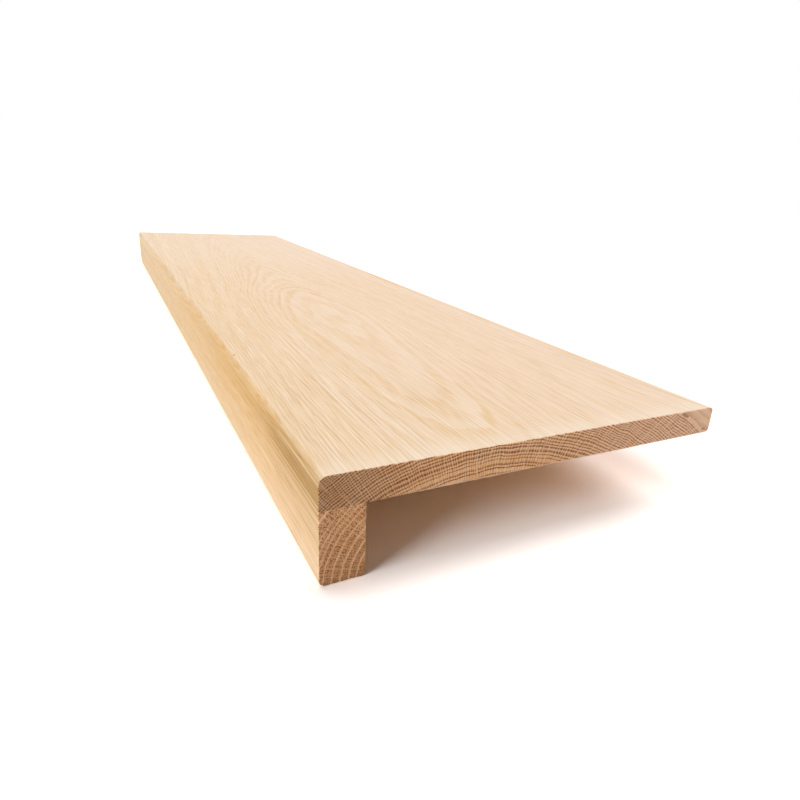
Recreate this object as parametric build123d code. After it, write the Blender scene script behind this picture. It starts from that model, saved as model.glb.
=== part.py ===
from build123d import *
import os

# Retrofit stair tread of solid oak: one wide board with a nosing strip glued under its front edge.
# The tread stands level, as it is laid on a stair, with the strip's underside on the floor.
# X runs along the nose, Y from the nose to the back edge, Z up.
# The origin is midway along the length and the depth, at the strip's underside.

# Driving dimensions, millimetres
inch = 25.4
tread_length = 48 * inch
tread_depth = 11.5 * inch        # face of the nose to the back edge
board_thickness = 0.75 * inch
nose_height = 2.5 * inch         # walking surface to the strip's underside
strip_thickness = 1 * inch       # front to back
nose_roundover = 3 / 16 * inch   # front top edge, where the foot lands
strip_roundover = 1 / 8 * inch   # front lower edge of the strip
back_easing = 1 / 8 * inch       # both long edges at the back of the board
inner_easing = 1 / 16 * inch     # back lower edge of the strip

# Levels and lines that both pieces take their places from
nose_face = -tread_depth / 2
back_face = tread_depth / 2
strip_back = nose_face + strip_thickness
strip_underside = 0
walking_surface = strip_underside + nose_height
glue_line = walking_surface - board_thickness


def outlined(*corners):
    """Cross-section with straight sides from each of these corners to the next."""
    return make_face(Polyline(*corners, close=True))


def eased(section, corner, radius):
    """The same cross-section with its corner at that place rounded."""
    return fillet(section.vertices().sort_by_distance((*corner, 0))[0], radius)


def milled(section):
    """A cross-section run along the whole length of the tread."""
    left_end = Plane.YZ.offset(-tread_length / 2)
    return extrude(left_end * section, tread_length, clean=False)


def make_tread_board():
    section = outlined(
        (nose_face, glue_line),
        (strip_back, glue_line),  # the strip's glued seat ends and the bearing face begins
        (back_face, glue_line),
        (back_face, walking_surface),
        (nose_face, walking_surface),
    )
    section = eased(section, (nose_face, walking_surface), nose_roundover)
    for level in (walking_surface, glue_line):
        section = eased(section, (back_face, level), back_easing)
    return milled(section)


def make_nosing_strip():
    section = outlined(
        (nose_face, strip_underside),
        (strip_back, strip_underside),
        (strip_back, glue_line),
        (nose_face, glue_line),
    )
    section = eased(section, (nose_face, strip_underside), strip_roundover)
    section = eased(section, (strip_back, strip_underside), inner_easing)
    return milled(section)


pieces = {
    "tread_board": make_tread_board(),
    "nosing_strip": make_nosing_strip(),
}
os.makedirs("parts", exist_ok=True)
for name, piece in pieces.items():
    piece.label = name
    export_step(piece, f"parts/{name}.step")
    print(name, round(piece.volume), "mm3", piece.bounding_box().size)
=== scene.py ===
import bpy
import bmesh
import math
from mathutils import Matrix, Vector, noise


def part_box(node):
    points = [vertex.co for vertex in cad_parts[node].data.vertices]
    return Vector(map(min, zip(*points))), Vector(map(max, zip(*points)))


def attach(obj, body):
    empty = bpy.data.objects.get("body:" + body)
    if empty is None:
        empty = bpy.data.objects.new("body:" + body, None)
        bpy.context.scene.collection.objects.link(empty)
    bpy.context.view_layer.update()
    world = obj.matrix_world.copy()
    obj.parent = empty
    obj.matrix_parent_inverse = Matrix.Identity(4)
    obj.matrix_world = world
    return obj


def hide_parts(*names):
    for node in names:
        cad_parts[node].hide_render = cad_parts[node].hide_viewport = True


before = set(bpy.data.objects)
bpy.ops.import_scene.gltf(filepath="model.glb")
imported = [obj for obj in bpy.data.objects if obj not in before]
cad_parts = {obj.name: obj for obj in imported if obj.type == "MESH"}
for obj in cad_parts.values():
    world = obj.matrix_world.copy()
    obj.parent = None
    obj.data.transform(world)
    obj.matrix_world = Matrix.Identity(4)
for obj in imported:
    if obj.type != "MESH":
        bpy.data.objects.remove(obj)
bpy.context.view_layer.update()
scene = bpy.context.scene
mm = 0.001
inch = 25.4  # mm
boardLow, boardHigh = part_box("tread_board")
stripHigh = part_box("nosing_strip")[1]
# lines and levels of the tread, mm, that its grain and tones are set out from
tread = {
    "halfLength": boardHigh[0] / mm, "noseFace": boardLow[1] / mm, "backFace": boardHigh[1] / mm,
    "walkingSurface": boardHigh[2] / mm, "glueLine": boardLow[2] / mm, "stripBack": stripHigh[1] / mm,
}
print("packed tread loaded, pieces:", ", ".join(sorted(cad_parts)))


def arcDrop(radius, inset):
    # how far a rounded edge has fallen away at this distance in from its face
    if radius <= 0 or inset >= radius:
        return 0.0
    return radius - math.sqrt(max(0.0, radius ** 2 - (radius - inset) ** 2))


def columnsAcross(front, back, frontRadius, backRadius, step):
    arcSteps = 9
    turns = [i / arcSteps * math.pi / 2 for i in range(arcSteps + 1)]
    places = [front + frontRadius * (1 - math.cos(a)) for a in turns]
    far = [back - backRadius * (1 - math.cos(a)) for a in reversed(turns)]
    count = max(2, round((far[0] - places[-1]) / step))
    gap = (far[0] - places[-1]) / count
    return places + [places[-1] + gap * i for i in range(1, count)] + far


def stationsAlong(left, right, step, nearEnd):
    inner = [left + d for d in nearEnd]
    outer = [right - d for d in reversed(nearEnd)]
    count = max(2, round((outer[0] - inner[-1]) / step))
    gap = (outer[0] - inner[-1]) / count
    return inner + [inner[-1] + gap * i for i in range(1, count)] + outer


def bandHeights(around, sides, bands):
    # heights on the bake map of both rims of each long face, by its number round the section
    heights = {}
    for side, start, end in sides:
        low, high = bands[side]
        run = [0.0]
        for i in range(start, end):
            run.append(run[-1] + (around[(i + 1) % len(around)] - around[i]).length)
        for n, i in enumerate(range(start, end)):
            heights[i] = [low + (high - low) * run[m] / run[-1] for m in (n, n + 1)]
    return heights


def buildMilled(name, piece):
    low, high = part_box(piece["node"])
    front, back, bottom, top = low[1], high[1], low[2], high[2]
    edge = {k: v * mm for k, v in piece["edges"].items()}
    fray = piece["sawFray"] * mm
    glueLine, stripBack = tread["glueLine"] * mm, tread["stripBack"] * mm
    ys = columnsAcross(front, back, max(edge["frontTop"], edge["frontBottom"]),
                       max(edge["backTop"], edge["backBottom"]), piece["columnStep"] * mm)
    rows = piece["rows"]
    lastColumn = len(ys) - 1

    def sectionPoint(j, k):
        y = ys[j]
        z0 = bottom + arcDrop(edge["frontBottom"], y - front) + arcDrop(edge["backBottom"], back - y)
        z1 = top - arcDrop(edge["frontTop"], y - front) - arcDrop(edge["backTop"], back - y)
        return Vector((y, z0 + (z1 - z0) * k / rows))

    rim = [(0, k) for k in range(rows + 1)]
    rim += [(j, rows) for j in range(1, lastColumn + 1)]
    rim += [(lastColumn, k) for k in range(rows - 1, -1, -1)]
    rim += [(j, 0) for j in range(lastColumn - 1, 0, -1)]
    where = {jk: i for i, jk in enumerate(rim)}
    around = [sectionPoint(j, k) for j, k in rim]
    count = len(rim)
    corners = [0, rows, rows + lastColumn, 2 * rows + lastColumn, count]
    heights = bandHeights(around, list(zip(("front", "top", "back", "bottom"), corners, corners[1:])),
                          piece["bakeBands"])
    inward = []
    for i in range(count):
        run = around[(i + 1) % count] - around[i - 1]
        inward.append(Vector((run.y, -run.x)).normalized())

    closeToEnd = [0.0, fray, 2.5 * mm, 8.0 * mm]
    stations = stationsAlong(low[0], high[0], piece["stationStep"] * mm, closeToEnd)
    lastStation = len(stations) - 1
    mesh = bmesh.new()
    bakeMap = mesh.loops.layers.uv.new("OFBake")

    def addFace(spots, look, smooth):
        face = mesh.faces.new([vertex for vertex, uv in spots])
        face.smooth = smooth
        face.material_index = look
        for loop, (vertex, uv) in zip(face.loops, spots):
            loop[bakeMap].uv = uv

    rings, shifts = [], {}
    for s, x in enumerate(stations):
        ring = []
        for i, spot in enumerate(around):
            place, along = spot, x
            # the saw leaves the arris of each end a little torn
            torn = 0.5 + 1.1 * noise.noise(Vector((i * 0.47, s * 9.7, piece["seed"])))
            torn = fray * min(1.5, max(0.2, torn))
            glued = abs(spot.y - glueLine) < 0.1 * mm and spot.x < stripBack
            if s in (0, lastStation):
                shifts[s, i] = inward[i] * (0.0 if glued else torn * 0.7)
                place = spot + shifts[s, i]
            elif s in (1, lastStation - 1):
                along = x + (torn - fray * 0.6) * (1 if s == 1 else -1)
            ring.append(mesh.verts.new((along, place.x, place.y)))
        rings.append(ring)
    margin = 0.002  # at both ends of the bake map
    us = [margin + (1 - 2 * margin) * (x - low[0]) / (high[0] - low[0]) for x in stations]
    for s in range(lastStation):
        look = 1 if s in (0, lastStation - 1) else 0
        for i in range(count):
            v0, v1 = heights[i]
            n = (i + 1) % count
            addFace([(rings[s][i], (us[s], v0)), (rings[s + 1][i], (us[s + 1], v0)),
                     (rings[s + 1][n], (us[s + 1], v1)), (rings[s][n], (us[s], v1))], look, True)
    for s, box, flip in ((0, "leftEnd", False), (lastStation, "rightEnd", True)):
        u0, v0, u1, v1 = piece["bakeBands"][box]
        grid = {}
        for j in range(lastColumn + 1):
            for k in range(rows + 1):
                spot = sectionPoint(j, k)
                uv = (u0 + (u1 - u0) * (spot.x - front) / (back - front),
                      v0 + (v1 - v0) * (spot.y - bottom) / (top - bottom))
                if (j, k) in where:
                    grid[j, k] = (rings[s][where[j, k]], uv)
                    continue
                # the torn rim draws the end's own points in with it
                for rimSpot, gap in (((0, k), spot.x - front), ((lastColumn, k), back - spot.x),
                                     ((j, 0), spot.y - bottom), ((j, rows), top - spot.y)):
                    spot = spot + shifts[s, where[rimSpot]] * max(0.0, 1 - gap / (2 * mm))
                grid[j, k] = (mesh.verts.new((stations[s], spot.x, spot.y)), uv)
        for j in range(lastColumn):
            for k in range(rows):
                spots = [grid[j, k], grid[j, k + 1], grid[j + 1, k + 1], grid[j + 1, k]]
                addFace(spots if flip else spots[::-1], 1, False)
    mesh.normal_update()
    bmesh.ops.recalc_face_normals(mesh, faces=mesh.faces[:])
    for line in mesh.edges:
        if len(line.link_faces) == 2 and line.calc_face_angle(0.0) > math.radians(32):
            line.smooth = False
    data = bpy.data.meshes.new(name)
    mesh.to_mesh(data)
    mesh.free()
    milled = bpy.data.objects.new(name, data)
    scene.collection.objects.link(milled)
    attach(milled, "root")
    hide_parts(piece["node"])
    triangles = sum(len(p.vertices) - 2 for p in data.polygons)
    print(name, "milled,", triangles, "triangles")
    return milled


def feed(tree, socket, value):
    if isinstance(value, bpy.types.NodeSocket):
        tree.links.new(value, socket)
    else:
        socket.default_value = value


def calc(tree, operation, a, b=0.0, c=0.0):
    node = tree.nodes.new("ShaderNodeMath")
    node.operation = operation
    for socket, value in zip(node.inputs, (a, b, c)):
        feed(tree, socket, value)
    return node.outputs[0]


def spread(tree, value, fromLow, fromHigh, toLow=0.0, toHigh=1.0, soft=True):
    node = tree.nodes.new("ShaderNodeMapRange")
    node.interpolation_type = "SMOOTHSTEP" if soft else "LINEAR"
    for socket, given in zip(node.inputs[:5], (value, fromLow, fromHigh, toLow, toHigh)):
        feed(tree, socket, given)
    return node.outputs[0]


def joined(tree, x, y, z):
    node = tree.nodes.new("ShaderNodeCombineXYZ")
    for socket, value in zip(node.inputs, (x, y, z)):
        feed(tree, socket, value)
    return node.outputs[0]


def vectorSum(tree, operation, a, b):
    node = tree.nodes.new("ShaderNodeVectorMath")
    node.operation = operation
    feed(tree, node.inputs[0], a)
    feed(tree, node.inputs[1], b)
    return node.outputs["Value" if operation == "LENGTH" else "Vector"]


def cloud(tree, vector, scale, detail=2.0, roughness=0.5):
    node = tree.nodes.new("ShaderNodeTexNoise")
    node.noise_dimensions = "3D"
    feed(tree, node.inputs["Vector"], vectorSum(tree, "MULTIPLY", vector, scale))
    node.inputs["Scale"].default_value = 1.0
    node.inputs["Detail"].default_value = detail
    node.inputs["Roughness"].default_value = roughness
    return node.outputs[0]


def blended(tree, factor, a, b, way="MIX"):
    node = tree.nodes.new("ShaderNodeMix")
    node.data_type = "RGBA"
    node.blend_type = way
    feed(tree, node.inputs["Factor"], factor)
    for socket, value in ((node.inputs[6], a), (node.inputs[7], b)):
        if isinstance(value, tuple):
            value = (*value, 1.0)
        feed(tree, socket, value)
    return node.outputs[2]


def alongCurve(tree, share, points, low=0.0, high=1.0):
    node = tree.nodes.new("ShaderNodeFloatCurve")
    line = node.mapping.curves[0]
    given = [(t, (v - low) / (high - low)) for t, v in points]
    line.points[0].location = given[0]
    line.points[1].location = given[-1]
    for t, v in given[1:-1]:
        line.points.new(t, v)
    node.mapping.update()
    feed(tree, node.inputs["Value"], share)
    return spread(tree, node.outputs[0], 0.0, 1.0, low, high, soft=False)


def growth(tree, grain):
    # turns a place in the piece into its place in the tree: distance from the pith, way round it, along it
    seat = tree.nodes.new("ShaderNodeTexCoord").outputs["Object"]
    place = vectorSum(tree, "MULTIPLY", seat, (1 / mm, 1 / mm, 1 / mm))
    parts = tree.nodes.new("ShaderNodeSeparateXYZ")
    feed(tree, parts.inputs[0], place)
    along, across, up = parts.outputs
    halfLength = tread["halfLength"]
    fromLeft = spread(tree, along, -halfLength, halfLength, soft=False)
    pithAcross = alongCurve(tree, fromLeft, grain["pithAcross"], -100.0, 100.0)
    pithUp = alongCurve(tree, fromLeft, grain["pithUp"], -200.0, 100.0)
    # the rings aren't quite round, and bow differently in front of the pith and behind it
    side = calc(tree, "SUBTRACT", across, pithAcross)
    ahead = calc(tree, "MAXIMUM", calc(tree, "MULTIPLY", side, -1.0), 0.0)
    behind = calc(tree, "MAXIMUM", side, 0.0)
    bowed = []
    for reach, (slopes, bend) in ((ahead, grain["frontBow"]), (behind, grain["backBow"])):
        slope = alongCurve(tree, fromLeft, slopes, 0.0, 2.0)
        bowed.append(calc(tree, "MULTIPLY", reach, calc(tree, "MULTIPLY_ADD", reach, bend, slope)))
    side = calc(tree, "SUBTRACT", bowed[1], bowed[0])
    rise = calc(tree, "SUBTRACT", up, pithUp)
    radius = calc(tree, "SQRT", calc(tree, "ADD", calc(tree, "MULTIPLY", side, side),
                                     calc(tree, "MULTIPLY", rise, rise)))
    turn = calc(tree, "MULTIPLY", calc(tree, "ARCTAN2", side, rise), grain["midRadius"])
    # away from the near end the loops on the face come to a point
    slopes, reach = grain["peak"]
    offPith = calc(tree, "MINIMUM", calc(tree, "ABSOLUTE", side), reach)
    radius = calc(tree, "MULTIPLY_ADD", offPith, alongCurve(tree, fromLeft, slopes, 0.0, 0.2), radius)
    sway = calc(tree, "SUBTRACT", cloud(tree, place, (0.003, 0.012, 0.012)), 0.5)
    straight = joined(tree, along, calc(tree, "MULTIPLY_ADD", sway, 9.0, across), up)
    for scale, amount in grain["wander"]:
        drift = calc(tree, "SUBTRACT", cloud(tree, place, scale), 0.5)
        radius = calc(tree, "MULTIPLY_ADD", drift, amount, radius)
    scale, amount = grain["endWander"]
    nearEnds = spread(tree, calc(tree, "ABSOLUTE", along), halfLength - 180.0, halfLength - 10.0, 0.0, amount)
    drift = calc(tree, "SUBTRACT", cloud(tree, place, scale), 0.5)
    radius = calc(tree, "MULTIPLY_ADD", drift, nearEnds, radius)
    wood = joined(tree, along, radius, turn)
    years, earlyShare, before = 0.0, 0.0, 0.0
    for start, end, width, share in grain["rings"]:
        reached = calc(tree, "MAXIMUM", calc(tree, "MINIMUM", radius, end), start)
        grown = calc(tree, "SUBTRACT", reached, start)
        years = calc(tree, "MULTIPLY_ADD", grown, 1 / width, years)
        past = calc(tree, "GREATER_THAN", radius, start)
        earlyShare = calc(tree, "MULTIPLY_ADD", past, share - before, earlyShare)
        before = share
    uneven = tree.nodes.new("ShaderNodeTexNoise")
    uneven.noise_dimensions = "1D"
    feed(tree, uneven.inputs["W"], calc(tree, "MULTIPLY", radius, 0.23))
    uneven.inputs["Scale"].default_value = 1.0
    uneven.inputs["Detail"].default_value = 1.0
    years = calc(tree, "MULTIPLY_ADD", calc(tree, "SUBTRACT", uneven.outputs[0], 0.5), grain["uneven"], years)
    season = calc(tree, "FRACT", years)
    yearMark = tree.nodes.new("ShaderNodeTexWhiteNoise")
    yearMark.noise_dimensions = "1D"
    feed(tree, yearMark.inputs["W"], calc(tree, "FLOOR", years))
    fadeFrom, fadeTo = grain["earlyFade"]
    early = calc(tree, "MULTIPLY", spread(tree, season, 0.0, 0.10),
                 spread(tree, calc(tree, "DIVIDE", season, earlyShare), fadeFrom, fadeTo, 1.0, 0.0))
    return {"tree": tree, "place": place, "along": along, "across": across, "up": up, "fromLeft": fromLeft,
            "wood": wood, "straight": straight, "radius": radius, "turn": turn, "early": early,
            "year": yearMark.outputs[0]}


def poresOf(g, vector, scale, loose, size):
    # vessels run the length of the tree, so they are dots on a sawn end and dashes on a face
    tree = g["tree"]
    cells = tree.nodes.new("ShaderNodeTexVoronoi")
    cells.voronoi_dimensions = "3D"
    cells.feature = "F1"
    feed(tree, cells.inputs["Vector"], vectorSum(tree, "MULTIPLY", vector, scale))
    cells.inputs["Scale"].default_value = 1.0
    cells.inputs["Randomness"].default_value = loose
    return spread(tree, cells.outputs["Distance"], size * 0.4, size, 1.0, 0.0)


def raysOf(g, grain):
    # thin pale sheets that stand out from the pith, unevenly spaced, and the darker rows between them
    tree = g["tree"]
    drift = cloud(tree, g["wood"], (0.02, 0.10, 0.35), 2.0)
    ahead, behind = (calc(tree, way, g["turn"], 0.0) for way in ("MINIMUM", "MAXIMUM"))
    beat = calc(tree, "MULTIPLY_ADD", ahead, 1 / grain["rayGap"][0], calc(tree, "MULTIPLY", drift, 2.0))
    beat = calc(tree, "MULTIPLY_ADD", behind, 1 / grain["rayGap"][1], beat)
    wave = calc(tree, "ABSOLUTE", calc(tree, "SUBTRACT", calc(tree, "FRACT", beat), 0.5))
    patchy = spread(tree, cloud(tree, g["wood"], (0.05, 0.12, 0.4), 1.0), 0.3, 0.6, 0.45, 1.0)
    pale = calc(tree, "MULTIPLY", spread(tree, wave, 0.26, 0.44), patchy)
    dark = calc(tree, "MULTIPLY", spread(tree, wave, 0.08, 0.26, 1.0, 0.0), patchy)
    broad = spread(tree, cloud(tree, g["wood"], (0.03, 0.03, 0.55), 0.0), 0.70, 0.78)
    return calc(tree, "MAXIMUM", pale, broad), dark


def hairLines(g, gap, thinFrom):
    # thin long lines of the fibres, in uneven rows that come and go along the piece
    tree = g["tree"]
    sway = cloud(tree, g["place"], (0.0022, 0.09, 0.09), 3.0, 0.6)
    row = calc(tree, "ADD", g["across"], g["up"])
    row = calc(tree, "MULTIPLY", calc(tree, "MULTIPLY_ADD", sway, 11.0, row), 1 / gap)
    middle = calc(tree, "ABSOLUTE", calc(tree, "SUBTRACT", calc(tree, "FRACT", row), 0.5))
    line = spread(tree, middle, thinFrom, 0.47)
    rowMark = joined(tree, calc(tree, "MULTIPLY", g["along"], 0.018), calc(tree, "FLOOR", row), gap)
    return calc(tree, "MULTIPLY", line, spread(tree, cloud(tree, rowMark, (1.0, 0.73, 1.0), 2.0), 0.30, 0.62))


def specksOf(g, specks):
    # small dark spots in the wood: where, how long along the grain and how wide, mm
    tree = g["tree"]
    dark = 0.0
    for spot, size in specks:
        off = vectorSum(tree, "DIVIDE", vectorSum(tree, "SUBTRACT", g["place"], spot), size)
        away = vectorSum(tree, "LENGTH", off, (0.0, 0.0, 0.0))
        dark = calc(tree, "MAXIMUM", spread(tree, away, 0.35, 1.0, 1.0, 0.0), dark)
    return dark


def finishOak(material, colour, roughness, height, depth, shine):
    tree = material.node_tree
    bump = tree.nodes.new("ShaderNodeBump")
    bump.inputs["Strength"].default_value = 1.0
    bump.inputs["Distance"].default_value = depth * mm
    feed(tree, bump.inputs["Height"], height)
    shader = tree.nodes.new("ShaderNodeBsdfPrincipled")
    feed(tree, shader.inputs["Base Color"], colour)
    feed(tree, shader.inputs["Roughness"], roughness)
    feed(tree, shader.inputs["Normal"], bump.outputs[0])
    shader.inputs["Specular IOR Level"].default_value = shine
    out = tree.nodes.new("ShaderNodeOutputMaterial")
    feed(tree, out.inputs["Surface"], shader.outputs[0])


def startOak(name):
    material = bpy.data.materials.new(name)
    material.use_nodes = True
    material.node_tree.nodes.clear()
    return material


def oakFace(name, grain, tint):
    material = startOak(name)
    tree = material.node_tree
    g = growth(tree, grain)
    pores = poresOf(g, g["straight"], grain["dashScale"], 1.0, 0.46)
    rays = raysOf(g, grain)[0]
    streak = cloud(tree, g["wood"], (0.0022, 0.16, 0.05), 3.0, 0.6)
    colour = blended(tree, spread(tree, streak, 0.35, 0.68), tint["pale"], tint["warm"])
    # painted sheen: paler towards the far end and pinker towards the back edge
    farSheen = spread(tree, g["fromLeft"], 0.0, 0.85, tint["farDepth"], 0.0)
    colour = blended(tree, farSheen, colour, tint["farPale"])
    backSheen = spread(tree, g["across"], tread["noseFace"] + 16.0, tread["backFace"] - 6.0, 0.0,
                      tint["backDepth"], soft=False)
    colour = blended(tree, backSheen, colour, tint["backTone"])
    late = calc(tree, "SUBTRACT", 1.0, g["early"])
    lateDepth = calc(tree, "MULTIPLY", late, spread(tree, g["year"], 0.25, 1.0, 0.0, tint["lateDepth"]))
    colour = blended(tree, lateDepth, colour, tint["late"])
    # hair lines of the grain, darker and paler than the ground, strongest towards the nose
    sharper = spread(tree, g["across"], tread["stripBack"], 0.0, 1.0, tint["hairCalm"])
    sharper = calc(tree, "MULTIPLY", sharper, alongCurve(tree, g["fromLeft"], tint["hairAlong"], 0.0, 2.0))
    fibre = cloud(tree, g["straight"], grain["hairScale"], 2.0, 0.6)
    wide, fine = (hairLines(g, gap, thinFrom) for gap, thinFrom in grain["hairGaps"])
    hair = calc(tree, "MAXIMUM", wide, calc(tree, "MULTIPLY", fine, tint["fineHair"]))
    hair = calc(tree, "MULTIPLY", hair, sharper)
    colour = blended(tree, calc(tree, "MULTIPLY", hair, tint["hairDepth"]), colour, tint["hair"])
    shine = calc(tree, "MULTIPLY", spread(tree, fibre, 0.30, 0.48, 1.0, 0.0), sharper)
    colour = blended(tree, calc(tree, "MULTIPLY", shine, tint["shineDepth"]), colour, tint["shine"])
    broken = cloud(tree, g["wood"], (0.012, 0.5, 0.5), 2.0)
    line = calc(tree, "MULTIPLY", g["early"], spread(tree, broken, 0.34, 0.62, 0.25, 1.0))
    line = calc(tree, "MULTIPLY", line, spread(tree, g["year"], 0.0, 1.0, 0.4, 1.15, soft=False))
    line = calc(tree, "MULTIPLY", line, alongCurve(tree, g["fromLeft"], tint["lineAlong"], 0.0, 2.0))
    colour = blended(tree, calc(tree, "MULTIPLY", line, tint["lineDepth"]), colour, tint["line"])
    dash = calc(tree, "MULTIPLY", pores, spread(tree, g["early"], 0.0, 1.0, 0.45, 1.0, soft=False))
    dash = calc(tree, "MULTIPLY", dash, sharper)
    colour = blended(tree, calc(tree, "MULTIPLY", dash, tint["poreDepth"]), colour, tint["pore"])
    colour = blended(tree, calc(tree, "MULTIPLY", rays, tint["rayDepth"]), colour, tint["ray"])
    # a painted highlight pales the walking surface just before each sawn end and along its back edge
    endBand = [tread["halfLength"] - inset for inset in (23.6, 1.6)]
    backBand = [tread["backFace"] - inset for inset in (7.0, 1.5)]
    topBand = [tread["walkingSurface"] - inset for inset in (2.5, 0.2)]
    edgeHighlight = spread(tree, calc(tree, "ABSOLUTE", g["along"]), *endBand, 0.0, tint["endDepth"])
    edgeHighlight = calc(tree, "MAXIMUM", edgeHighlight, spread(tree, g["across"], *backBand, 0.0, tint["edgeDepth"]))
    edgeHighlight = calc(tree, "MULTIPLY", edgeHighlight, spread(tree, g["up"], *topBand))
    colour = blended(tree, edgeHighlight, colour, tint["endPale"])
    # the nose is more golden, with a darker streak under the roundover at the right-hand end that is partly a
    # real streak and partly painted shade
    nearFace = spread(tree, g["across"], tread["noseFace"], tread["noseFace"] + 5.2, 1.0, 0.0)
    fromFloor = spread(tree, g["up"], 0.0, tread["walkingSurface"], soft=False)
    golden = calc(tree, "MULTIPLY", alongCurve(tree, fromFloor, noseTone["goldUp"]),
                  alongCurve(tree, g["fromLeft"], noseTone["goldAlong"]))
    colour = blended(tree, calc(tree, "MULTIPLY", nearFace, golden), colour, noseTone["gold"], "MULTIPLY")
    # painted shade: the nose darkens towards the far end, where the light falls off
    falloffShade = calc(tree, "MULTIPLY", nearFace, alongCurve(tree, g["fromLeft"], noseTone["dimAlong"]))
    colour = blended(tree, falloffShade, colour, noseTone["falloffShade"], "MULTIPLY")
    wisps = spread(tree, cloud(tree, g["place"], (0.004, 0.0, 0.8), 4.0, 0.75), 0.36, 0.62, 0.4, 1.25)
    # darker streak: partly a real streak in the wood, partly painted shade on the upper front face
    streakAndShade = calc(tree, "MULTIPLY", alongCurve(tree, fromFloor, noseTone["streakUp"]),
                    alongCurve(tree, g["fromLeft"], noseTone["streakAlong"]))
    streakAndShade = calc(tree, "MULTIPLY", calc(tree, "MULTIPLY", nearFace, streakAndShade), wisps)
    colour = blended(tree, streakAndShade, colour, noseTone["streak"], "MULTIPLY")
    # painted shade darkens the underside and the back of the strip, where the tread beds on the step, so that
    # the shadow under the tread comes out darker
    glueLine, stripBack = tread["glueLine"], tread["stripBack"]
    undersideShade = calc(tree, "MULTIPLY", spread(tree, g["up"], glueLine + 0.15, glueLine + 2.5, 1.0, 0.0),
                  spread(tree, g["across"], stripBack - 1.5, stripBack))
    colour = blended(tree, undersideShade, colour, tint["undersideShade"], "MULTIPLY")
    mark = calc(tree, "MULTIPLY", specksOf(g, tint["specks"]), 0.7)
    colour = blended(tree, mark, colour, tint["speck"])
    roughness = calc(tree, "MULTIPLY_ADD", dash, 0.2, spread(tree, fibre, 0.3, 0.7, 0.64, 0.76))
    height = calc(tree, "SUBTRACT", calc(tree, "MULTIPLY", hair, -0.3), dash)
    finishOak(material, colour, roughness, height, depth=0.02, shine=0.05)
    return material


def oakEnd(name, grain, tint):
    material = startOak(name)
    tree = material.node_tree
    g = growth(tree, grain)
    pores = poresOf(g, g["wood"], grain["dotScale"], 0.7, tint["poreSize"])
    # rays show less towards the back, and hardly at all in the wide calm rings of the back corner
    calm = spread(tree, g["radius"], grain["calmFrom"], grain["calmFrom"] + 5.0)
    shown = calc(tree, "MULTIPLY", spread(tree, g["across"], *endTone["raysFade"], 1.0, tint["backRays"]),
                 spread(tree, calm, 0.0, 1.0, 1.0, 0.1, soft=False))
    rays, rows = (calc(tree, "MULTIPLY", each, shown) for each in raysOf(g, grain))
    patch = cloud(tree, g["place"], (0.01, 0.035, 0.08), 2.0)
    colour = blended(tree, spread(tree, patch, 0.35, 0.65), tint["pale"], tint["warm"])
    # paler, pinker wood at the back, where the rings are wide and calm
    back = spread(tree, g["across"], *endTone["backPales"], 0.0, tint["backDepth"])
    colour = blended(tree, back, colour, tint["backPale"])
    streaks = spread(tree, cloud(tree, g["wood"], (0.02, 0.24, 0.035), 3.0, 0.6), 0.44, 0.62)
    streaks = calc(tree, "MULTIPLY", calc(tree, "MULTIPLY", streaks, calm), tint["streakDepth"])
    colour = blended(tree, streaks, colour, tint["streak"])
    # early wood is dark, cut into dashes by the rays
    ring = calc(tree, "MULTIPLY", g["early"], spread(tree, g["year"], 0.0, 1.0, 0.7, 1.0, soft=False))
    ring = calc(tree, "MULTIPLY", ring, spread(tree, rays, 0.0, 1.0, 1.0, 1 - tint["rayDepth"], soft=False))
    ring = calc(tree, "MAXIMUM", ring, calc(tree, "MULTIPLY", rows, tint["rowDepth"]))
    quiet = spread(tree, calm, 0.0, 1.0, 1.0, tint["calmDepth"], soft=False)
    ring = calc(tree, "MULTIPLY", ring, quiet)
    early = blended(tree, back, tint["early"], tint["earlyBack"])
    colour = blended(tree, calc(tree, "MULTIPLY", ring, tint["earlyDepth"]), colour, early)
    inEarly = spread(tree, g["early"], 0.0, 1.0, tint["lateDots"], 1.0, soft=False)
    dots = calc(tree, "MULTIPLY", pores, inEarly)
    dots = calc(tree, "MULTIPLY", dots, spread(tree, rays, 0.0, 1.0, 1.0, 0.3, soft=False))
    dots = calc(tree, "MULTIPLY", dots, quiet)
    colour = blended(tree, calc(tree, "MULTIPLY", dots, tint["poreDepth"]), colour, tint["pore"])
    colour = blended(tree, calc(tree, "MULTIPLY", rays, tint["rayGlow"]), colour, tint["ray"])
    # greyer wood towards the front corner, and a painted highlight on the arris along the underside
    front = spread(tree, g["across"], *endTone["cornerGreys"], tint["cornerDepth"], 0.0)
    colour = blended(tree, front, colour, tint["corner"], "MULTIPLY")
    glueLine = tread["glueLine"]
    arrisHighlight = calc(tree, "MULTIPLY", spread(tree, g["up"], glueLine + 0.45, glueLine + 1.25, 1.0, 0.0),
                 spread(tree, g["across"], *endTone["arrisStarts"], 0.0, tint["arrisDepth"]))
    colour = blended(tree, arrisHighlight, colour, tint["arrisHighlight"])
    mark = calc(tree, "MULTIPLY", specksOf(g, tint["specks"]), 0.7)
    colour = blended(tree, mark, colour, tint["speck"])
    roughness = spread(tree, dots, 0.0, 1.0, 0.68, 0.88)
    height = calc(tree, "SUBTRACT", calc(tree, "MULTIPLY", rays, 0.4), dots)
    finishOak(material, colour, roughness, height, depth=0.08, shine=0.03)
    return material
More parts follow.
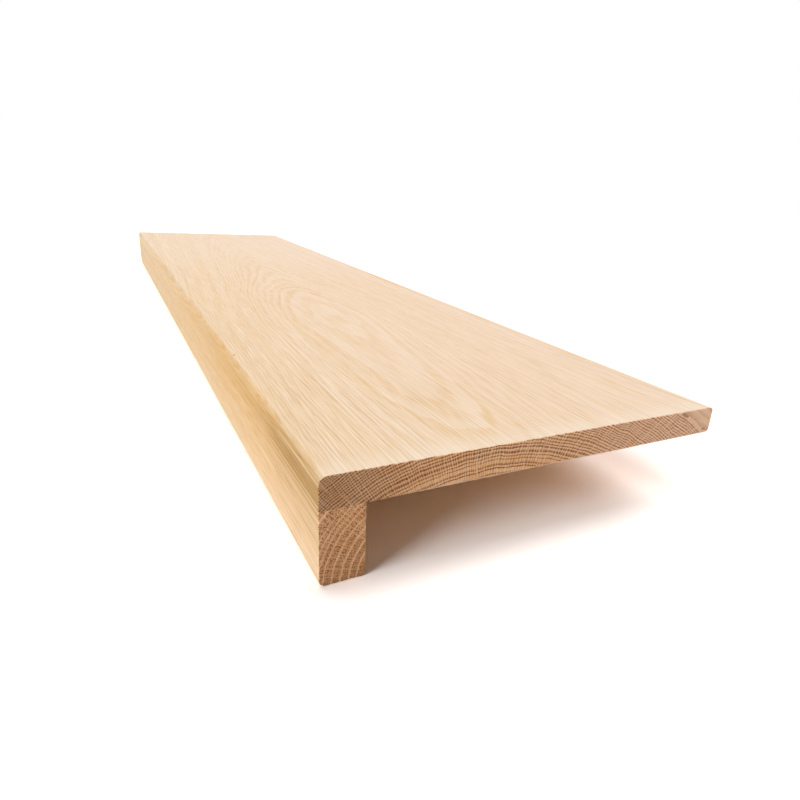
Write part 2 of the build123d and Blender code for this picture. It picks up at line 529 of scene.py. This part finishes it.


# tone and painted shade of the front face of both pieces, up from the floor and along from the left-hand end
noseTone = {
    "gold": (0.97, 0.83, 0.54), "goldUp": [(0.0, 0.06), (0.35, 0.45), (0.5, 0.62), (0.8, 0.95), (1.0, 1.0)],
    "goldAlong": [(0.0, 0.1), (0.45, 0.2), (0.62, 0.38), (0.72, 0.47), (0.80, 0.78), (0.88, 0.8),
                  (0.95, 0.56), (1.0, 0.38)],
    "falloffShade": (0.835, 0.822, 0.76),
    "dimAlong": [(0.0, 1.0), (0.3, 0.95), (0.6, 0.75), (0.78, 0.6), (0.9, 0.15), (1.0, 0.0)],
    "streak": (0.523, 0.445, 0.295),
    "streakUp": [(0.0, 0.0), (0.3, 0.12), (0.5, 0.32), (0.66, 0.58), (0.76, 0.9), (0.85, 1.0), (0.92, 0.8),
                 (1.0, 0.3)],
    "streakAlong": [(0.0, 0.0), (0.4, 0.03), (0.5, 0.06), (0.62, 0.12), (0.74, 0.2), (0.83, 0.34),
                    (0.91, 0.6), (0.955, 0.95), (1.0, 1.0)],
}
# where the tones of both pieces' sawn ends change, mm back from the middle of the tread
endTone = {
    "backPales": (-50.0, 130.0), "raysFade": (-20.0, 70.0), "cornerGreys": (-150.0, -70.0),
    "arrisStarts": (-105.0, -80.0),
}
# strength of the ring lines and the hair lines of both pieces, along from the left-hand end
lineAlong = [(0.0, 0.6), (0.36, 0.65), (0.46, 1.2), (0.60, 1.35), (0.76, 1.0), (1.0, 1.0)]
hairAlong = [(0.0, 1.0), (0.60, 0.85), (0.80, 1.0), (0.92, 1.3), (1.0, 1.4)]

boardSettings = {
    "node": "tread_board",
    # radii of the long edges, mm
    "edges": {"frontTop": 3 / 16 * inch, "frontBottom": 0.0, "backTop": inch / 8, "backBottom": inch / 8},
    "columnStep": 0.9, "rows": 14, "stationStep": 30.0, "sawFray": 0.5, "seed": 1.0,  # steps and fray, mm
    # heights of the long faces on the bake map, and the corners of the two ends
    "bakeBands": {"top": (0.003, 0.455), "bottom": (0.465, 0.655), "front": (0.665, 0.715),
                  "back": (0.725, 0.762), "leftEnd": (0.003, 0.772, 0.997, 0.878),
                  "rightEnd": (0.003, 0.888, 0.997, 0.997)},
    "grain": {
        # place of the pith in the tread, mm, from the far end to the near end
        "pithUp": [(0.0, -82.0), (0.17, -77.0), (0.336, -72.0), (0.436, -68.4), (0.488, -66.7),
                   (0.545, -63.6), (0.596, -59.2), (0.666, -55.7), (0.705, -55.0), (0.734, -54.2),
                   (0.763, -55.0), (0.80, -55.8), (0.86, -57.0), (1.0, -61.0)],
        "pithAcross": [(0.0, 2.0), (0.436, -7.0), (0.734, -18.0), (1.0, -46.0)],
        # how steeply the loops come to a point, and how far to each side of the pith, mm
        "peak": ([(0.0, 0.05), (0.62, 0.05), (0.72, 0.0), (1.0, 0.0)], 22.0),
        # slope, along the tread, and bend of the rings in front of the pith and behind it
        "frontBow": ([(0.0, 0.70), (1.0, 0.70)], 0.0018),
        "backBow": ([(0.0, 0.90), (0.436, 1.0), (0.70, 1.06), (0.85, 1.0), (1.0, 0.88)], -0.0009),
        "midRadius": 135.0,
        # from and to, mm from the pith, ring width and its share of early wood
        "rings": [(60.0, 121.0, 2.6, 0.38), (121.0, 134.0, 2.0, 0.46), (134.0, 169.0, 1.42, 0.47),
                  (169.0, 400.0, 4.9, 0.55)], "uneven": 0.9, "calmFrom": 168.0, "earlyFade": (0.6, 1.4),
        # size of each waver, per mm, and how far it moves the rings, mm
        "wander": [((0.0022, 0.011, 0.011), 1.8), ((0.011, 0.033, 0.033), 1.8), ((0.02, 0.5, 0.5), 0.45)],
        "endWander": ((0.011, 0.07, 0.06), 3.0),
        "dotScale": (0.02, 1.3, 1.1), "dashScale": (0.032, 1.15, 1.05), "hairScale": (0.012, 0.6, 0.6),
        "hairGaps": [(3.0, 0.32), (1.45, 0.22)],  # mm between lines, and how thin they are
        "rayGap": (1.4, 2.0),  # mm, in front of the pith and behind it
    },
    "face": {
        "pale": (0.93, 0.73, 0.535), "warm": (0.885, 0.66, 0.44),
        "farPale": (0.95, 0.79, 0.64), "farDepth": 0.65, "backTone": (0.93, 0.745, 0.63), "backDepth": 0.62,
        "late": (0.88, 0.63, 0.39), "lateDepth": 0.35,
        "line": (0.80, 0.53, 0.25), "lineDepth": 0.55, "lineAlong": lineAlong,
        "hair": (0.60, 0.39, 0.20), "hairDepth": 0.45, "fineHair": 0.75,
        "shine": (0.98, 0.87, 0.75), "shineDepth": 0.26,
        "hairAlong": hairAlong, "hairCalm": 0.75, "pore": (0.64, 0.36, 0.13), "poreDepth": 0.32,
        "ray": (0.95, 0.82, 0.66), "rayDepth": 0.12, "undersideShade": (0.80, 0.64, 0.50),
        "endPale": (0.98, 0.87, 0.74), "endDepth": 0.27, "edgeDepth": 0.8, "speck": (0.34, 0.16, 0.05),
        "specks": [((388.0, -142.0, 62.6), (2.4, 1.2, 3.0)), ((-62.0, -125.0, 63.5), (2.4, 1.0, 3.0))],
    },
    "end": {
        "pale": (0.97, 0.60, 0.34), "warm": (0.92, 0.52, 0.26),
        "backPale": (0.98, 0.68, 0.50), "backDepth": 0.85,
        "early": (0.18, 0.028, 0.004), "earlyBack": (0.50, 0.19, 0.075), "earlyDepth": 1.0, "calmDepth": 0.3,
        "backRays": 0.7, "streak": (0.62, 0.33, 0.23), "streakDepth": 0.22,
        "pore": (0.12, 0.018, 0.003), "poreDepth": 0.7, "poreSize": 0.46, "lateDots": 0.14,
        "ray": (0.92, 0.59, 0.35), "rayDepth": 0.75, "rayGlow": 0.2, "rowDepth": 0.36,
        "corner": (0.67, 0.675, 0.69), "cornerDepth": 1.0, "arrisHighlight": (0.97, 0.70, 0.48), "arrisDepth": 0.6,
        "speck": (0.26, 0.13, 0.08),
        # one slanting mark near the top of the back corner, and a small one low down
        "specks": [((tread["halfLength"], 114.9, 61.9), (3.0, 2.6, 1.5)),
                   ((tread["halfLength"], 117.0, 60.8), (3.0, 2.8, 1.7)),
                   ((tread["halfLength"], 119.1, 59.7), (3.0, 2.4, 1.3)),
                   ((tread["halfLength"], 139.6, 47.4), (3.0, 2.2, 1.1))],
    },
}

stripSettings = {
    "node": "nosing_strip",
    "edges": {"frontTop": 0.0, "frontBottom": inch / 8, "backTop": 0.0, "backBottom": inch / 16},
    "columnStep": 0.8, "rows": 44, "stationStep": 30.0, "sawFray": 0.5, "seed": 2.0,
    "bakeBands": {"front": (0.003, 0.295), "bottom": (0.305, 0.410), "back": (0.420, 0.620),
                  "top": (0.630, 0.655), "leftEnd": (0.003, 0.665, 0.195, 0.997),
                  "rightEnd": (0.215, 0.665, 0.407, 0.997)},
    "grain": {
        "pithUp": [(0.0, -16.0), (0.5, -10.0), (1.0, -4.0)],
        "pithAcross": [(0.0, -84.0), (0.5, -86.0), (1.0, -88.0)], "peak": ([(0.0, 0.0), (1.0, 0.0)], 22.0),
        "frontBow": ([(0.0, 1.0), (1.0, 1.0)], 0.0), "backBow": ([(0.0, 1.0), (1.0, 1.0)], 0.0),
        "midRadius": 48.0,
        "rings": [(10.0, 400.0, 4.7, 0.88)], "uneven": 1.0, "calmFrom": 300.0, "earlyFade": (0.86, 1.12),
        "wander": [((0.003, 0.02, 0.02), 2.0), ((0.011, 0.06, 0.06), 1.2), ((0.02, 0.5, 0.5), 0.6)],
        "endWander": ((0.011, 0.12, 0.12), 1.6),
        "dotScale": (0.02, 0.95, 2.2), "dashScale": (0.032, 1.15, 1.05), "hairScale": (0.012, 0.6, 0.6),
        "hairGaps": [(3.0, 0.32), (1.45, 0.22)], "rayGap": (1.7, 1.7),
    },
    "face": {
        "pale": (0.93, 0.73, 0.53), "warm": (0.89, 0.67, 0.45),
        "farPale": (0.94, 0.765, 0.60), "farDepth": 0.4, "backTone": (0.93, 0.745, 0.63), "backDepth": 0.0,
        "late": (0.88, 0.64, 0.41), "lateDepth": 0.30,
        "line": (0.80, 0.54, 0.28), "lineDepth": 0.28, "lineAlong": lineAlong,
        "hair": (0.60, 0.39, 0.19), "hairDepth": 0.4, "fineHair": 0.8,
        "shine": (0.97, 0.82, 0.64), "shineDepth": 0.35,
        "hairAlong": hairAlong, "hairCalm": 0.75, "pore": (0.62, 0.37, 0.15), "poreDepth": 0.35,
        "ray": (0.95, 0.82, 0.66), "rayDepth": 0.12, "undersideShade": (0.80, 0.64, 0.50),
        "endPale": (0.97, 0.83, 0.66), "endDepth": 0.0, "edgeDepth": 0.0,
        "speck": (0.22, 0.12, 0.05), "specks": [],
    },
    "end": {
        "pale": (0.97, 0.62, 0.38), "warm": (0.92, 0.55, 0.30),
        "backPale": (0.86, 0.53, 0.36), "backDepth": 0.0,
        "early": (0.74, 0.38, 0.18), "earlyBack": (0.74, 0.38, 0.18), "earlyDepth": 0.9, "calmDepth": 1.0,
        "backRays": 1.0, "streak": (0.60, 0.31, 0.18), "streakDepth": 0.0,
        "pore": (0.24, 0.068, 0.012), "poreDepth": 1.0, "poreSize": 0.60, "lateDots": 0.04,
        "ray": (0.82, 0.49, 0.27), "rayDepth": 0.3, "rayGlow": 0.1, "rowDepth": 0.15,
        "corner": (0.9, 0.9, 0.92), "cornerDepth": 0.4, "arrisHighlight": (0.95, 0.66, 0.44), "arrisDepth": 0.0,
        "speck": (0.12, 0.06, 0.04), "specks": [],
    },
}

for name, piece in (("treadBoard", boardSettings), ("nosingStrip", stripSettings)):
    milled = buildMilled(name, piece)
    milled.data.materials.append(oakFace(name + "Face", piece["grain"], piece["face"]))
    milled.data.materials.append(oakEnd(name + "End", piece["grain"], piece["end"]))
    print(name, "has its face and end grain")

studio = {
    "floorSize": 14.0, "floorColour": (0.92, 0.86, 0.79), "floorSeen": (1.55, 1.49, 1.46),
    "roomLight": 0.11,
    # where each lamp shines from, its spread in degrees and its strength
    "lamps": {"frontSoftbox": ((0.26, -1.0, 0.45), 30.0, 2.06),
              "backSoftbox": ((-0.21, 1.0, 0.74), 24.0, 1.65),
              "overheadSoftbox": ((-0.40, 0.0, 1.0), 46.0, 1.13)},
    "cameraPlace": (0.85402, -0.22435, 0.1975), "cameraTowards": (-0.80208, 0.48235, -0.35214),
    "cameraRoll": 4.2114, "focalPixels": 586.78, "centre": (446.5, 409.06), "image": 800,
}


def makeFloor():
    half = studio["floorSize"] / 2
    data = bpy.data.meshes.new("floor")
    corners = [(-half, -half, 0), (half, -half, 0), (half, half, 0), (-half, half, 0)]
    data.from_pydata(corners, [], [(0, 1, 2, 3)])
    floor = bpy.data.objects.new("floor", data)
    scene.collection.objects.link(floor)
    material = bpy.data.materials.new("paleFloor")
    material.use_nodes = True
    tree = material.node_tree
    tree.nodes.clear()
    plain = tree.nodes.new("ShaderNodeBsdfDiffuse")
    plain.inputs["Color"].default_value = (*studio["floorColour"], 1.0)
    bright = tree.nodes.new("ShaderNodeBsdfDiffuse")
    bright.inputs["Color"].default_value = (*studio["floorSeen"], 1.0)
    path = tree.nodes.new("ShaderNodeLightPath")
    either = tree.nodes.new("ShaderNodeMixShader")
    seen = calc(tree, "MAXIMUM", path.outputs["Is Camera Ray"], path.outputs["Is Glossy Ray"])
    feed(tree, either.inputs[0], calc(tree, "MAXIMUM", seen, path.outputs["Is Transmission Ray"]))
    feed(tree, either.inputs[1], plain.outputs[0])
    feed(tree, either.inputs[2], bright.outputs[0])
    out = tree.nodes.new("ShaderNodeOutputMaterial")
    feed(tree, out.inputs["Surface"], either.outputs[0])
    data.materials.append(material)


def makeRoom():
    world = bpy.data.worlds.new("room")
    scene.world = world
    world.use_nodes = True
    tree = world.node_tree
    tree.nodes.clear()
    path = tree.nodes.new("ShaderNodeLightPath")
    seen = calc(tree, "MAXIMUM", path.outputs["Is Camera Ray"], path.outputs["Is Glossy Ray"])
    seen = calc(tree, "MAXIMUM", seen, path.outputs["Is Transmission Ray"])
    shade = tree.nodes.new("ShaderNodeBackground")
    shade.inputs["Color"].default_value = (1.0, 1.0, 1.0, 1.0)
    feed(tree, shade.inputs["Strength"], spread(tree, seen, 0.0, 1.0, studio["roomLight"], 1.0, soft=False))
    out = tree.nodes.new("ShaderNodeOutputWorld")
    feed(tree, out.inputs["Surface"], shade.outputs[0])


def makeLamp(name, shinesFrom, spreadDegrees, power):
    light = bpy.data.lights.new(name, "SUN")
    light.angle = math.radians(spreadDegrees)
    light.energy = power
    lamp = bpy.data.objects.new(name, light)
    lamp.location = Vector(shinesFrom).normalized() * 2.0
    lamp.rotation_euler = (-Vector(shinesFrom)).to_track_quat("-Z", "Y").to_euler()
    scene.collection.objects.link(lamp)


def makeCamera():
    data = bpy.data.cameras.new("viewCamera")
    data.sensor_width = 36.0
    data.lens = studio["focalPixels"] * data.sensor_width / studio["image"]
    middle = studio["image"] / 2
    data.shift_x = (middle - studio["centre"][0]) / studio["image"]
    data.shift_y = (studio["centre"][1] - middle) / studio["image"]
    data.clip_start = 0.01
    view = bpy.data.objects.new("viewCamera", data)
    forward = Vector(studio["cameraTowards"]).normalized()
    level = forward.cross(Vector((0, 0, 1))).normalized()
    right = Matrix.Rotation(-math.radians(studio["cameraRoll"]), 3, forward) @ level
    above = right.cross(forward)
    turn = Matrix((right, above, -forward)).transposed()
    view.matrix_world = Matrix.Translation(studio["cameraPlace"]) @ turn.to_4x4()
    scene.collection.objects.link(view)
    scene.camera = view


makeFloor()
makeRoom()
for name, (shinesFrom, spreadDegrees, power) in studio["lamps"].items():
    makeLamp(name, shinesFrom, spreadDegrees, power)
makeCamera()
scene.view_settings.view_transform = "Standard"
print("floor, lamps and camera placed")
